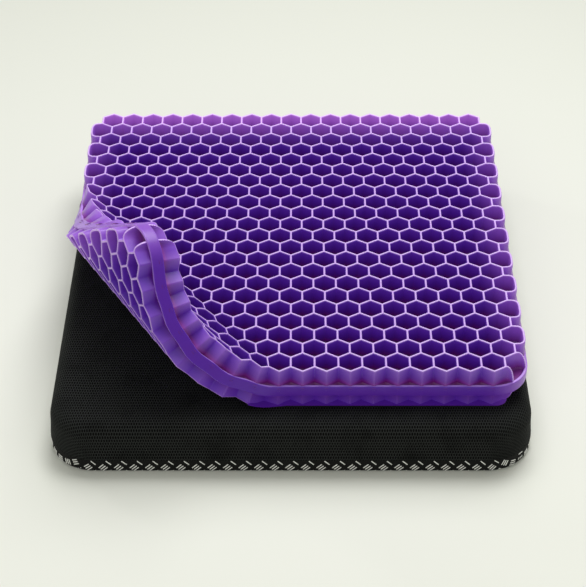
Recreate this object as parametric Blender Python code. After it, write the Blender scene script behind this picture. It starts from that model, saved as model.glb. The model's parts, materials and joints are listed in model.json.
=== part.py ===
"""Seat cushion: a gel honeycomb pad, one corner peeled back, lying on its zipped fabric cover.

Metres, +Z up.  The origin is the centre of the cover's underside.  X runs across the seat,
and -Y is the front edge.  The rear wall of the cover (+Y) carries the zip.
"""

import math

import bmesh
import bpy
from mathutils import Matrix, Vector

# ---------------------------------------------------------------- driving dimensions
GAP = 0.0003                 # clearance between pieces that touch

PAD_WIDTH = 0.424            # across the seat, X, over the rim band
PAD_DEPTH = 0.411            # front to back, Y
PAD_THICKNESS = 0.040
PAD_CORNER_RADIUS = 0.032
RIM_HEIGHT = 0.0095
RIM_PROUD = 0.003            # how far the rim band stands out of the cell walls

COVER_SIDE_MARGIN = 0.006    # of the cover past the pad, each side
COVER_FRONT_MARGIN = 0.0325
COVER_REAR_MARGIN = 0.0025
COVER_HEIGHT = 0.050
COVER_CORNER_RADIUS = 0.042  # in plan
SHOULDER_RADIUS = 0.015      # top edge of the knit
BASE_EDGE_RADIUS = 0.012     # bottom edge of the base fabric
KNIT_THICKNESS = 0.0030
BASE_THICKNESS = 0.0022
SEAM_HEIGHT = 0.0145         # where the base fabric is sewn to the knit

CORE_SIDE_CLEARANCE = 0.0042 # room for the zip's slider behind the rear wall
CORE_EDGE_RADIUS = 0.008

FOLD_COUNT = 5               # hinge lines that stand for the bend of the peeled corner
CURL_ANGLE = math.radians(100.0)
FIRST_FOLD_DIRECTION = math.radians(55.0)   # from -Y towards -X
LAST_FOLD_DIRECTION = math.radians(65.0)
BEND_START = 0.1592          # in from the tip of the corner, along the fold direction
BEND_END = 0.0209
FOLD_GAP = 0.0004            # half the gap between neighbouring strips

ZIP_HEIGHT = 0.0240          # of the zip's centre line above the floor
ZIP_END_MARGIN = 0.0100      # from the coil's end to where the rear wall starts to round
ZIP_SLOT_HEIGHT = 0.0120
ZIP_SLOT_MARGIN = 0.0065     # slot past each end of the coil
TAPE_WIDTH = 0.0110          # of one half
TAPE_THICKNESS = 0.0011
TAPE_SPLIT = 0.0008          # half the split between the two halves
COIL_WIDTH = 0.0022          # of one half
COIL_THICKNESS = 0.0025
STOP_LENGTH = 0.0026

SLIDER_LENGTH = 0.0100
SLIDER_WIDTH = 0.0094
SLIDER_PLATE = 0.0014
SLIDER_RUN_GAP = 0.0004      # clearance all round the tape and coil
SLIDER_FLANGE = 0.0011
SLIDER_POST_WIDTH = 0.0008
SLIDER_POST_LENGTH = 0.0030
SLIDER_REST_GAP = 0.0016     # from the top stops
LUG_GAP = 0.0032             # between the slider's two lugs
LUG_THICKNESS = 0.0009
LUG_LENGTH = 0.0030
LUG_HEIGHT = 0.0030
PIN_RADIUS = 0.0005
PIN_INSET = 0.0012           # of the pin's axis from the lugs' ends
EYE_HOLE_RADIUS = 0.00085
EYE_RADIUS = 0.0018
TAB_LENGTH = 0.0240
TAB_WIDTH = 0.0072
TAB_THICKNESS = 0.0010
TAB_NECK_LENGTH = 0.0050

CORNER_STEPS = 6             # facets on each rounded corner
ROUND_STEPS = 4              # facets on each rounded edge
PIN_SIDES = 16

# ---------------------------------------------------------------- derived places
PAD_BOTTOM = COVER_HEIGHT + GAP
PAD_MIDDLE = PAD_BOTTOM + PAD_THICKNESS / 2
COVER_WIDTH = PAD_WIDTH + 2 * COVER_SIDE_MARGIN
COVER_DEPTH = PAD_DEPTH + COVER_FRONT_MARGIN + COVER_REAR_MARGIN
PAD_CENTRE_Y = (COVER_FRONT_MARGIN - COVER_REAR_MARGIN) / 2
REAR_FACE = COVER_DEPTH / 2
ZIP_LENGTH = COVER_WIDTH - 2 * (COVER_CORNER_RADIUS + ZIP_END_MARGIN)
TAPE_FACE = REAR_FACE - KNIT_THICKNESS - GAP
TAPE_BACK = TAPE_FACE - TAPE_THICKNESS
COIL_BACK = TAPE_FACE + GAP
COIL_FACE = COIL_BACK + COIL_THICKNESS
SLIDER_FRONT = COIL_FACE + SLIDER_RUN_GAP + SLIDER_PLATE
SLIDER_REST_X = (ZIP_LENGTH - SLIDER_LENGTH) / 2 - SLIDER_REST_GAP
PIN_Y = SLIDER_FRONT + LUG_HEIGHT - PIN_INSET


# ---------------------------------------------------------------- helpers
def clear_scene():
    """Remove every object that is in the file."""
    for item in list(bpy.data.objects):
        bpy.data.objects.remove(item, do_unlink=True)


def make_material(name, colour, roughness, metallic=0.0):
    """A Principled material of one colour."""
    material = bpy.data.materials.new(name)
    material.use_nodes = True
    shader = material.node_tree.nodes["Principled BSDF"]
    shader.inputs["Base Color"].default_value = (*colour, 1.0)
    shader.inputs["Roughness"].default_value = roughness
    shader.inputs["Metallic"].default_value = metallic
    return material


def add_object(name, bm, material):
    """Turn a bmesh into a named object with outward faces."""
    bmesh.ops.recalc_face_normals(bm, faces=bm.faces)
    mesh = bpy.data.meshes.new(name)
    bm.to_mesh(mesh)
    bm.free()
    mesh.materials.append(material)
    item = bpy.data.objects.new(name, mesh)
    bpy.context.collection.objects.link(item)
    return item


def rounded_ring(half_x, half_y, radius, z, centre_y=0.0):
    """Points of a rounded rectangle, anticlockwise from the +X side."""
    points = []
    for quarter, (sign_x, sign_y) in enumerate([(1, 1), (-1, 1), (-1, -1), (1, -1)]):
        for step in range(CORNER_STEPS + 1):
            angle = (quarter + step / CORNER_STEPS) * math.pi / 2
            x = sign_x * (half_x - radius) + radius * math.cos(angle)
            y = sign_y * (half_y - radius) + radius * math.sin(angle)
            points.append(Vector((x, y + centre_y, z)))
    return points


def loft(rings):
    """A closed bmesh through rings with equal point counts, capped at the first and last."""
    bm = bmesh.new()
    rows = [[bm.verts.new(point) for point in ring] for ring in rings]
    count = len(rows[0])
    for lower, upper in zip(rows, rows[1:]):
        for i in range(count):
            j = (i + 1) % count
            bm.faces.new((lower[i], lower[j], upper[j], upper[i]))
    bm.faces.new(list(reversed(rows[0])))
    bm.faces.new(rows[-1])
    return bm


def box(low, high):
    """A box between two corners."""
    centre = (Vector(low) + Vector(high)) / 2
    size = Vector(high) - Vector(low)
    bm = bmesh.new()
    place = Matrix.Translation(centre) @ Matrix.Diagonal((*size, 1.0))
    bmesh.ops.create_cube(bm, size=1.0, matrix=place)
    return bm


def cylinder_z(centre, radius, length):
    """A round bar along Z."""
    bm = bmesh.new()
    bmesh.ops.create_cone(bm, cap_ends=True, segments=PIN_SIDES, radius1=radius, radius2=radius,
                          depth=length, matrix=Matrix.Translation(centre))
    return bm


def boolean(item, tool, operation):
    """Join or cut with a hidden tool object."""
    tool.hide_render = True
    tool.display_type = "WIRE"
    modifier = item.modifiers.new(tool.name, "BOOLEAN")
    modifier.object = tool
    modifier.operation = operation
    modifier.solver = "EXACT"


# ---------------------------------------------------------------- the cover
def cover_ring(inset, z):
    """Outline of the cover at a distance inside its widest line."""
    radius = max(COVER_CORNER_RADIUS - inset, 0.004)
    return rounded_ring(COVER_WIDTH / 2 - inset, COVER_DEPTH / 2 - inset, radius, z)


def shoulder_profile(depth):
    """Insets and heights of the knit from seam to top, a wall depth inside the outer face."""
    radius = SHOULDER_RADIUS - depth
    pairs = [(depth, SEAM_HEIGHT)]
    for step in range(ROUND_STEPS + 1):
        angle = step / ROUND_STEPS * math.pi / 2
        inset = SHOULDER_RADIUS - radius * math.cos(angle)
        height = COVER_HEIGHT - SHOULDER_RADIUS + radius * math.sin(angle)
        pairs.append((inset, height))
    return pairs


def base_profile(depth):
    """Insets and heights of the base fabric from underside to seam."""
    radius = BASE_EDGE_RADIUS - depth
    pairs = []
    for step in range(ROUND_STEPS + 1):
        angle = step / ROUND_STEPS * math.pi / 2
        inset = BASE_EDGE_RADIUS - radius * math.sin(angle)
        height = BASE_EDGE_RADIUS - radius * math.cos(angle)
        pairs.append((inset, height))
    pairs.append((depth, SEAM_HEIGHT - GAP))
    return pairs


def make_cover_shell(material):
    """Knit top and sides in one, open below, with the zip's slot through its rear wall."""
    inner = [cover_ring(*pair) for pair in reversed(shoulder_profile(KNIT_THICKNESS))]
    outer = [cover_ring(*pair) for pair in shoulder_profile(0.0)]
    shell = add_object("cover_shell", loft(inner + outer), material)
    half_slot = ZIP_LENGTH / 2 + ZIP_SLOT_MARGIN
    low = (-half_slot, REAR_FACE - KNIT_THICKNESS * 2, ZIP_HEIGHT - ZIP_SLOT_HEIGHT / 2)
    high = (half_slot, REAR_FACE + KNIT_THICKNESS, ZIP_HEIGHT + ZIP_SLOT_HEIGHT / 2)
    cutter = add_object("zip_slot_cutter", box(low, high), material)
    boolean(shell, cutter, "DIFFERENCE")
    return shell


def make_cover_base(material):
    """Grippy base fabric: a flat panel with its edge turned up to the seam."""
    outer = [cover_ring(*pair) for pair in base_profile(0.0)]
    inner = [cover_ring(*pair) for pair in reversed(base_profile(BASE_THICKNESS))]
    return add_object("cover_base", loft(outer + inner), material)


def make_foam_core(material):
    """Foam slab that fills the cover, with eased edges."""
    inset = KNIT_THICKNESS + CORE_SIDE_CLEARANCE
    bottom = BASE_THICKNESS + GAP
    top = COVER_HEIGHT - KNIT_THICKNESS - GAP
    rings = [cover_ring(inset + CORE_EDGE_RADIUS, bottom),
             cover_ring(inset, bottom + CORE_EDGE_RADIUS),
             cover_ring(inset, top - CORE_EDGE_RADIUS),
             cover_ring(inset + CORE_EDGE_RADIUS, top)]
    return add_object("foam_core", loft(rings), material)


# ---------------------------------------------------------------- the zip
def make_zip_chain(tape_material, coil_material, stop_material):
    """Two tapes, two coils and the stops, mirrored about the zip's centre line."""
    half = ZIP_LENGTH / 2
    tape_end = half + ZIP_SLOT_MARGIN
    for side, sign in (("upper", 1), ("lower", -1)):
        edge = ZIP_HEIGHT + sign * TAPE_SPLIT
        far = ZIP_HEIGHT + sign * TAPE_WIDTH
        tape = box((-tape_end, TAPE_BACK, min(edge, far)), (tape_end, TAPE_FACE, max(edge, far)))
        add_object(f"zip_tape_{side}", tape, tape_material)
        far = edge + sign * COIL_WIDTH
        low_z, high_z = min(edge, far), max(edge, far)
        coil = box((-half, COIL_BACK, low_z), (half, COIL_FACE, high_z))
        add_object(f"zip_coil_{side}", coil, coil_material)
        stop = box((half + GAP, COIL_BACK, low_z), (half + GAP + STOP_LENGTH, COIL_FACE, high_z))
        add_object(f"zip_top_stop_{side}", stop, stop_material)
    reach = TAPE_SPLIT + COIL_WIDTH
    stop = box((-half - GAP - STOP_LENGTH, COIL_BACK, ZIP_HEIGHT - reach),
               (-half - GAP, COIL_FACE, ZIP_HEIGHT + reach))
    add_object("zip_bottom_stop", stop, stop_material)


def make_zip_slider(material):
    """Front plate with side flanges, a back plate behind the tapes, a post between them,
    and two lugs that hold the pull tab's pin."""
    x = SLIDER_REST_X
    half = SLIDER_LENGTH / 2
    wide = SLIDER_WIDTH / 2
    front_back = COIL_FACE + SLIDER_RUN_GAP
    back_face = TAPE_BACK - SLIDER_RUN_GAP
    slider = add_object("zip_slider", box((x - half, front_back, ZIP_HEIGHT - wide),
                                          (x + half, SLIDER_FRONT, ZIP_HEIGHT + wide)), material)
    overlap = SLIDER_PLATE / 2
    parts = [box((x - half, back_face - SLIDER_PLATE, ZIP_HEIGHT - wide),
                 (x + half, back_face, ZIP_HEIGHT + wide)),
             box((x + half - SLIDER_POST_LENGTH, back_face - overlap,
                  ZIP_HEIGHT - SLIDER_POST_WIDTH / 2),
                 (x + half, front_back + overlap, ZIP_HEIGHT + SLIDER_POST_WIDTH / 2))]
    flange_back = TAPE_FACE + SLIDER_RUN_GAP
    for sign in (1, -1):
        near = ZIP_HEIGHT + sign * (wide - SLIDER_FLANGE)
        far = ZIP_HEIGHT + sign * wide
        parts.append(box((x - half, flange_back, min(near, far)),
                         (x + half, front_back + overlap, max(near, far))))
        near = ZIP_HEIGHT + sign * LUG_GAP / 2
        far = near + sign * LUG_THICKNESS
        parts.append(box((x - LUG_LENGTH / 2, SLIDER_FRONT - overlap, min(near, far)),
                         (x + LUG_LENGTH / 2, SLIDER_FRONT + LUG_HEIGHT, max(near, far))))
    parts.append(cylinder_z((x, PIN_Y, ZIP_HEIGHT), PIN_RADIUS, LUG_GAP + LUG_THICKNESS))
    for number, part in enumerate(parts):
        boolean(slider, add_object(f"zip_slider_tool_{number}", part, material), "UNION")
    return slider


def make_zip_pull_tab(material):
    """Flat tab whose eye turns on the slider's pin; its origin is on the pin's axis."""
    thick = TAB_THICKNESS / 2
    eye_half = LUG_GAP / 2 - GAP
    tab = add_object("zip_pull_tab", cylinder_z((0, 0, 0), EYE_RADIUS, eye_half * 2), material)
    neck = box((-TAB_NECK_LENGTH, -thick, -eye_half), (-EYE_HOLE_RADIUS, thick, eye_half))
    overlap = TAB_THICKNESS
    blade = box((-TAB_LENGTH, -thick, -TAB_WIDTH / 2),
                (-TAB_NECK_LENGTH + overlap, thick, TAB_WIDTH / 2))
    hole = cylinder_z((0, 0, 0), EYE_HOLE_RADIUS, TAB_WIDTH)
    shapes = (("neck", neck, "UNION"), ("blade", blade, "UNION"), ("hole", hole, "DIFFERENCE"))
    for name, shape, operation in shapes:
        tool = add_object(f"zip_tab_{name}", shape, material)
        tool.parent = tab
        boolean(tab, tool, operation)
    tab.location = (SLIDER_REST_X, PIN_Y, ZIP_HEIGHT)
    return tab


# ---------------------------------------------------------------- the gel pad
def pad_solid():
    """Flat pad in its place on the cover: cell block, rim band at mid height, cell block."""
    def ring(inset, z):
        return rounded_ring(PAD_WIDTH / 2 - inset, PAD_DEPTH / 2 - inset,
                            PAD_CORNER_RADIUS - inset, z, PAD_CENTRE_Y)
    rim_low = PAD_MIDDLE - RIM_HEIGHT / 2
    rim_high = PAD_MIDDLE + RIM_HEIGHT / 2
    return loft([ring(RIM_PROUD, PAD_BOTTOM), ring(RIM_PROUD, rim_low), ring(0.0, rim_low),
                 ring(0.0, rim_high), ring(RIM_PROUD, rim_high),
                 ring(RIM_PROUD, PAD_BOTTOM + PAD_THICKNESS)])


def fold_line(number):
    """A point on fold line 1, 2, ... in the flat pad, and the direction across it, outwards."""
    share = (number - 0.5) / FOLD_COUNT
    turn = FIRST_FOLD_DIRECTION + (LAST_FOLD_DIRECTION - FIRST_FOLD_DIRECTION) * share
    across = Vector((-math.sin(turn), -math.cos(turn), 0.0))
    straight = Vector((PAD_WIDTH / 2 - PAD_CORNER_RADIUS, PAD_DEPTH / 2 - PAD_CORNER_RADIUS, 0.0))
    corner_tip = PAD_CORNER_RADIUS - across.dot(straight)
    distance = corner_tip - (BEND_START + (BEND_END - BEND_START) * share)
    point = Vector((0.0, PAD_CENTRE_Y, PAD_MIDDLE)) + across * distance
    return point, across


def cut_flat(bm, point, normal):
    """Cut away what lies past a plane and close the cut."""
    everything = bm.verts[:] + bm.edges[:] + bm.faces[:]
    result = bmesh.ops.bisect_plane(bm, geom=everything, plane_co=point, plane_no=normal,
                                    clear_outer=True, dist=1e-7)
    edges = [part for part in result["geom_cut"] if isinstance(part, bmesh.types.BMEdge)]
    bmesh.ops.contextual_create(bm, geom=edges)


def trim_at_fold(bm, number, side):
    """Trim one side of a fold: upright below the mid-plane, leaning back above it, so that
    neighbours meet when the corner is curled and when it is flat.  side is +1 to keep the
    inner part and -1 to keep the outer part."""
    point, across = fold_line(number)
    outward = across * side
    lean = CURL_ANGLE / FOLD_COUNT / 2
    start = point - outward * FOLD_GAP
    cut_flat(bm, start, outward)
    cut_flat(bm, start, outward * math.cos(lean) + Vector((0, 0, 1)) * math.sin(lean))


def hinge_frame(number):
    """Matrix whose Z axis is the fold line, about which a positive turn flattens the corner."""
    point, across = fold_line(number)
    up = Vector((0, 0, 1))
    axis = up.cross(across)
    matrix = Matrix((across, axis.cross(across), axis)).transposed().to_4x4()
    return Matrix.Translation(point) @ matrix


def make_gel_pad(material):
    """The pad up to the first fold, and the strips of the curled corner, each on its hinge."""
    bm = pad_solid()
    trim_at_fold(bm, 1, 1)
    add_object("gel_pad", bm, material)
    parent = None
    parent_frame = Matrix.Identity(4)
    fold_turn = Matrix.Rotation(-CURL_ANGLE / FOLD_COUNT, 4, "Z")
    for number in range(1, FOLD_COUNT + 1):
        bm = pad_solid()
        trim_at_fold(bm, number, -1)
        if number < FOLD_COUNT:
            trim_at_fold(bm, number + 1, 1)
        frame = hinge_frame(number)
        bmesh.ops.transform(bm, matrix=frame.inverted(), verts=bm.verts)
        hinge = bpy.data.objects.new(f"fold_{number}_axis", None)
        bpy.context.collection.objects.link(hinge)
        hinge.parent = parent
        hinge.matrix_basis = parent_frame.inverted() @ frame @ fold_turn
        strip = add_object(f"gel_corner_{number}", bm, material)
        strip.parent = hinge
        parent = hinge
        parent_frame = frame


# ---------------------------------------------------------------- the cushion
def main():
    clear_scene()
    gel = make_material("violet_gel", (0.20, 0.06, 0.42), 0.35)
    knit = make_material("black_spacer_knit", (0.012, 0.013, 0.012), 0.85)
    grip = make_material("dotted_grip_fabric", (0.020, 0.020, 0.020), 0.80)
    foam = make_material("grey_foam", (0.32, 0.32, 0.33), 0.95)
    tape = make_material("zip_tape", (0.015, 0.015, 0.016), 0.80)
    nylon = make_material("zip_coil_nylon", (0.020, 0.020, 0.022), 0.40)
    metal = make_material("painted_zip_metal", (0.030, 0.030, 0.032), 0.35, 0.9)
    make_cover_shell(knit)
    make_cover_base(grip)
    make_foam_core(foam)
    make_zip_chain(tape, nylon, metal)
    make_zip_slider(metal)
    make_zip_pull_tab(metal)
    make_gel_pad(gel)
    bpy.context.view_layer.update()


main()
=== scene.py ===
# %% [markdown]
# # A gel seat cushion on its cover
#
# The cushion is a soft gel honeycomb, moulded in one piece, lying on the black
# knitted cover that it normally lives in.  One corner is peeled up so that the
# cells underneath show.  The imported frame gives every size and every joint, and
# this script gives the looks.

# %% Load the frame
import json
import math
from contextlib import contextmanager

import bmesh
import bpy
import numpy as np
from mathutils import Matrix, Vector


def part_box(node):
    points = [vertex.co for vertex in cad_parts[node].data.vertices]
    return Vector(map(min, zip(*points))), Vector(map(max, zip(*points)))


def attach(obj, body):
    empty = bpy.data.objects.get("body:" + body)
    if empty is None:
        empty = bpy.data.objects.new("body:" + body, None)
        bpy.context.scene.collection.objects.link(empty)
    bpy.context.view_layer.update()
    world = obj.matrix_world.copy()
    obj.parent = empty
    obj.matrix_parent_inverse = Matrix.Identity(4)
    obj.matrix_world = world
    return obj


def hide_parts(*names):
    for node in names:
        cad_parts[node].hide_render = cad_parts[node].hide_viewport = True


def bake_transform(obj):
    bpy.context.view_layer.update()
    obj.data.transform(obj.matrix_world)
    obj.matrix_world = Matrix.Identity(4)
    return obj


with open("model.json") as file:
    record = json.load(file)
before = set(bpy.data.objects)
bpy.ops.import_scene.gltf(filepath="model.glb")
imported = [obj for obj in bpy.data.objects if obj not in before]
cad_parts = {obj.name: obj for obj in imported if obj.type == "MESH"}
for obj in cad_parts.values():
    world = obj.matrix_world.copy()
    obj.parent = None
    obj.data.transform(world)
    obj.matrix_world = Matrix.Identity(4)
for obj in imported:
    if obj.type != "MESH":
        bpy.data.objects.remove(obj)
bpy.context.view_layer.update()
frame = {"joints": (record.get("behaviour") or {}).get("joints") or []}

# %% [markdown]
# ## Sizes read from the frame
#
# A size that the frame already knows is never written twice.  The pad, the cover
# and the zip all report their boxes, and the rest of the file works from those.

# %% Boxes of the pad and of the cover
def corner_arrays(box):
    """The lowest and the highest corner of a box, as arrays."""
    return [np.array(corner) for corner in box]


PAD_LOW, PAD_HIGH = corner_arrays(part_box("gel_pad"))
SHELL_LOW, SHELL_HIGH = corner_arrays(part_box("cover_shell"))
PAD_CENTRE = (PAD_LOW + PAD_HIGH) / 2
PAD_HALF = (PAD_HIGH - PAD_LOW) / 2
COVER_HALF = (SHELL_HIGH - SHELL_LOW) / 2
COVER_TOP = SHELL_HIGH[2]
SEAM_HEIGHT = SHELL_LOW[2]
print("pad, mm:", np.round(PAD_HALF * 2000, 1), "cover, mm:", np.round(COVER_HALF * 2000, 1))

# %% [markdown]
# ## Meshes from arrays
#
# Every new shape below is worked out as whole arrays of points and faces.  One
# helper turns them into an object, welds points that fall together, and can add a
# named number per point, which the materials read.

# %% Turn arrays into an object
WELD = 2e-5


@contextmanager
def edited(item):
    """The object's mesh opened for editing, and written back afterwards."""
    bm = bmesh.new()
    bm.from_mesh(item.data)
    yield bm
    bm.to_mesh(item.data)
    bm.free()


def face_out(item):
    """Turn all faces of a mesh of closed parts outwards."""
    with edited(item) as bm:
        bmesh.ops.recalc_face_normals(bm, faces=bm.faces[:])


def weld(points, faces):
    """Points closer than the weld distance become one, and collapsed corners are dropped."""
    keys = np.round(points / WELD).astype(np.int64)
    kept, where = np.unique(keys, axis=0, return_index=True, return_inverse=True)[1:]
    return points[kept], where.reshape(-1)[faces], kept


def drop_repeats(face):
    """A face as a list, without a corner that repeats its neighbour."""
    return [corner for i, corner in enumerate(face) if corner != face[i - 1]]


def new_object(name, points, faces, smooth=True, sharp=42, **numbers):
    """An object from points (n, 3) and faces (m, 4), with one float attribute per keyword;
    edges that turn by more than sharp degrees stay crisp."""
    points, faces, kept = weld(np.asarray(points, float), np.asarray(faces))
    lists = [drop_repeats(face) for face in faces.tolist()]
    lists = [face for face in lists if len(face) > 2 and len(set(face)) == len(face)]
    mesh = bpy.data.meshes.new(name)
    mesh.from_pydata(points.tolist(), [], lists)
    mesh.validate()
    for key, values in numbers.items():
        layer = mesh.attributes.new(key, "FLOAT", "POINT")
        layer.data.foreach_set("value", np.asarray(values, np.float32)[kept])
    mesh.polygons.foreach_set("use_smooth", np.full(len(mesh.polygons), smooth))
    mesh.set_sharp_from_angle(angle=math.radians(sharp))
    item = bpy.data.objects.new(name, mesh)
    bpy.context.collection.objects.link(item)
    return item


def grid_faces(rows, columns, closed=False):
    """Quads of a grid whose points are stored row by row; closed joins the last column."""
    across = columns if closed else columns - 1
    i, j = np.meshgrid(np.arange(rows - 1), np.arange(across), indexing="ij")
    right = (j + 1) % columns
    a, b = i * columns + j, i * columns + right
    c, d = (i + 1) * columns + right, (i + 1) * columns + j
    return np.stack([a, b, c, d], -1).reshape(-1, 4)


def with_poles(loops, middle):
    """The loops, with all points of one more loop at each end drawn together in the middle."""
    poles = [np.tile(np.append(middle, loop[0, 2]), (len(loop), 1)) for loop in (loops[0], loops[-1])]
    return [poles[0]] + loops + [poles[1]]


def smoothstep(t):
    """0 below 0, 1 above 1, and 3 t^2 - 2 t^3 between."""
    t = np.clip(t, 0.0, 1.0)
    return t * t * (3 - 2 * t)


# %% [markdown]
# ## The honeycomb as a drawing
#
# Seen from above, the pad is a drawing of lines: the hexagon edges.  Rows of 19
# and 20 cells take turns, so the sides end in lobes with open notches between
# them, and the front and back end in zigzags.  The drawing is one list of points
# and one list of lines, and the same drawing serves the top and the underside.

# %% Hexagon rows
ROWS = 22
WIDE_CELLS = 20
LOBE_MARGIN = 0.002                       # from the outer lobes to the rim band's face
PITCH = (PAD_HALF[0] - LOBE_MARGIN) * 2 / WIDE_CELLS
SIDE = PITCH / math.sqrt(3)
ROW_STEP = 1.5 * SIDE
BULGE_STEPS = 9


def row_centre(row):
    """Y of a row's cell centres; row 0 is at the back."""
    return PAD_CENTRE[1] + ((ROWS - 1) / 2 - row) * ROW_STEP


def row_cells(row):
    """X of the cell centres: 19 in the even-numbered rows from the back, 20 in the others."""
    count = WIDE_CELLS - 1 if row % 2 == 0 else WIDE_CELLS
    return (np.arange(count) - (count - 1) / 2) * PITCH + PAD_CENTRE[0]


def hexagon_lines(centres):
    """The six edges of each hexagon: corner k is at 30 + 60 k degrees, SIDE from the centre."""
    angles = np.radians(30 + 60 * np.arange(7))
    ring = np.stack([np.cos(angles), np.sin(angles), np.zeros(7)], -1) * SIDE
    corners = centres[:, None] + ring[None]
    return np.stack([corners[:, :-1], corners[:, 1:]], 2).reshape(-1, 2, 3)


def curve_lines(points):
    """Consecutive points as lines."""
    return np.stack([points[:-1], points[1:]], 1)


def bulge(start, end, depth, power=0.55):
    """A rounded wall from start to end that stands out by depth on its right-hand side:
    the upper half of a superellipse, |x/a|^n + |y/b|^n = 1 with n = 2 / power."""
    start, end = np.array(start), np.array(end)
    middle, along = (start + end) / 2, (end - start) / 2
    out = np.array([along[1], -along[0]]) / np.hypot(*along)
    t = np.linspace(-math.pi / 2, math.pi / 2, BULGE_STEPS + 1)[:, None]
    run = np.sign(np.sin(t)) * np.abs(np.sin(t)) ** power
    curve = middle + along * run + out * depth * np.abs(np.cos(t)) ** power
    return curve_lines(np.hstack([curve, np.zeros((len(t), 1))]))


def fin(start, end, lean, drop):
    """A wall from a cell's corner out to the rim band: its line leans sideways by lean times
    sin(pi t), and its lip falls like a quarter of an ellipse, drop * (1 - sqrt(1 - t^2))."""
    start, end = np.array(start), np.array(end)
    t = np.sin(np.linspace(0, math.pi / 2, BULGE_STEPS + 2))[:, None]
    aside = np.array([start[1] - end[1], end[0] - start[0]])
    aside = aside / np.hypot(*aside)
    plan = start + (end - start) * t + aside * lean * np.sin(math.pi * t)
    return curve_lines(np.hstack([plan, drop * (1 - np.sqrt(1 - t * t))]))


# %% Draw the pad
RIM_RADIUS = 0.032
BACK_RADIUS = 0.017                       # of the band, round the last row's ends
RIM_HALF_HEIGHT = 0.0055
RIM_DROP = 0.0022                         # the band sits this much below the middle
LIP_WIDTH = 0.0028
LOBE_FULLNESS = 0.97                      # of half a cell's width, on the open side lobes
LIP_OVERLAP = 0.0006                      # a fin's lip ends this far inside the band


def rim_point(turn, inset):
    """A point on the front right corner of the band, at an angle and in from its face."""
    centre = PAD_HALF[:2] - RIM_RADIUS
    angle = math.radians(turn)
    reach = (RIM_RADIUS - inset) * np.array([math.cos(angle), math.sin(angle)])
    return np.array([centre[0], -centre[1]]) + reach


def half_drawing(sign, face):
    """The lobes and the open corner pocket of one side; sign is +1 on the right, face is +1
    on the top and -1 on the underside."""
    lines = []
    edge_x = (WIDE_CELLS - 1) / 2 * PITCH
    end_x = PAD_CENTRE[0] + sign * edge_x
    for row in range(1, ROWS - 1, 2):
        y = row_centre(row)
        ends = [(end_x, y - SIDE), (end_x, y + SIDE)]
        lines.append(bulge(*(ends[::-1] if sign > 0 else ends), -PITCH / 2 * LOBE_FULLNESS))
    y = row_centre(ROWS - 1)
    drop = PAD_HALF[2] + face * RIM_DROP - RIM_HALF_HEIGHT + LIP_OVERLAP
    place = np.array([sign, 1])
    for start, turn, lean in (((edge_x - PITCH / 2, y - SIDE / 2), -57, 0.0012),
                              ((edge_x, y + SIDE), -12, 0.0018)):
        goal = (rim_point(turn, LIP_WIDTH * 0.6) + [0, PAD_CENTRE[1]]) * place
        begin = np.array(start) * place
        lines.append(fin(begin, goal, lean * sign, drop))
    return lines


def pad_drawing(face):
    """All wall lines of one face of the pad, as (n, 2 ends, x y and drop of the lip)."""
    cells = []
    for row in range(ROWS):
        x = row_cells(row)
        if row % 2:
            x = x[1:-1]
        cells.append(np.stack([x, np.full(len(x), row_centre(row)), np.zeros(len(x))], -1))
    lines = [hexagon_lines(np.concatenate(cells))]
    lines += half_drawing(1, face) + half_drawing(-1, face)
    return np.concatenate(lines)


drawings = {face: pad_drawing(face) for face in (1, -1)}
print("wall lines drawn:", len(drawings[1]), "cell pitch, mm:", round(PITCH * 1000, 2))

# %% [markdown]
# ## From lines to walls
#
# Each line becomes a wall with a rounded lip, a little draft and a fillet at its
# foot.  Walls meet at the drawing's points.  Going round such a point, every gap
# between two neighbouring lines is a corner, whose two feet sit where the walls'
# faces cross.  Sorting the lines by angle finds all the corners at once.

# %% Sort the lines round their points
def half_edges(lines):
    """Both directions of every line: start point, end point, twin, and the next line
    counter-clockwise round the start."""
    ends = lines.reshape(-1, 3)
    keys = np.round(ends[:, :2] / 1e-4).astype(np.int64)
    kept, number = np.unique(keys, axis=0, return_index=True, return_inverse=True)[1:]
    points = ends[kept]
    pairs = np.sort(number.reshape(-1, 2), axis=1)
    pairs = np.unique(pairs[pairs[:, 0] != pairs[:, 1]], axis=0)
    start = np.concatenate([pairs[:, 0], pairs[:, 1]])
    stop = np.concatenate([pairs[:, 1], pairs[:, 0]])
    twin = np.concatenate([np.arange(len(pairs)) + len(pairs), np.arange(len(pairs))])
    reach = points[stop, :2] - points[start, :2]
    angle = np.arctan2(reach[:, 1], reach[:, 0])
    order = np.lexsort((angle, start))
    first = np.searchsorted(start[order], start[order], side="left")
    last = np.searchsorted(start[order], start[order], side="right")
    after = np.arange(len(order)) + 1
    after = np.where(after == last, first, after)
    following = np.empty(len(order), int)
    following[order] = order[after]
    return points, start, stop, twin, angle, following


# %% Walls of one face of the pad
NARROWEST = 0.3                           # the least half gap between two walls, in radians
FOOT_ROUNDING = 0.40                      # of the half thickness, where two walls meet
UNDER_RIB_LIGHT = 0.45                          # how much painted light the outer ribs below get


def wall_profile(depth):
    """Half thickness, drop and share of the depth down a wall, from the middle of its lip."""
    return np.array([
        (0.00000, 0.00000, 0.00),
        (0.00065, 0.00016, 0.03),
        (0.00100, 0.00075, 0.10),
        (0.00112, 0.00180, 0.20),
        (0.00128, depth * 0.60, 0.60),
        (0.00160, depth - 0.0016, 0.92),
        (0.00300, depth, 1.00)])


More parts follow.
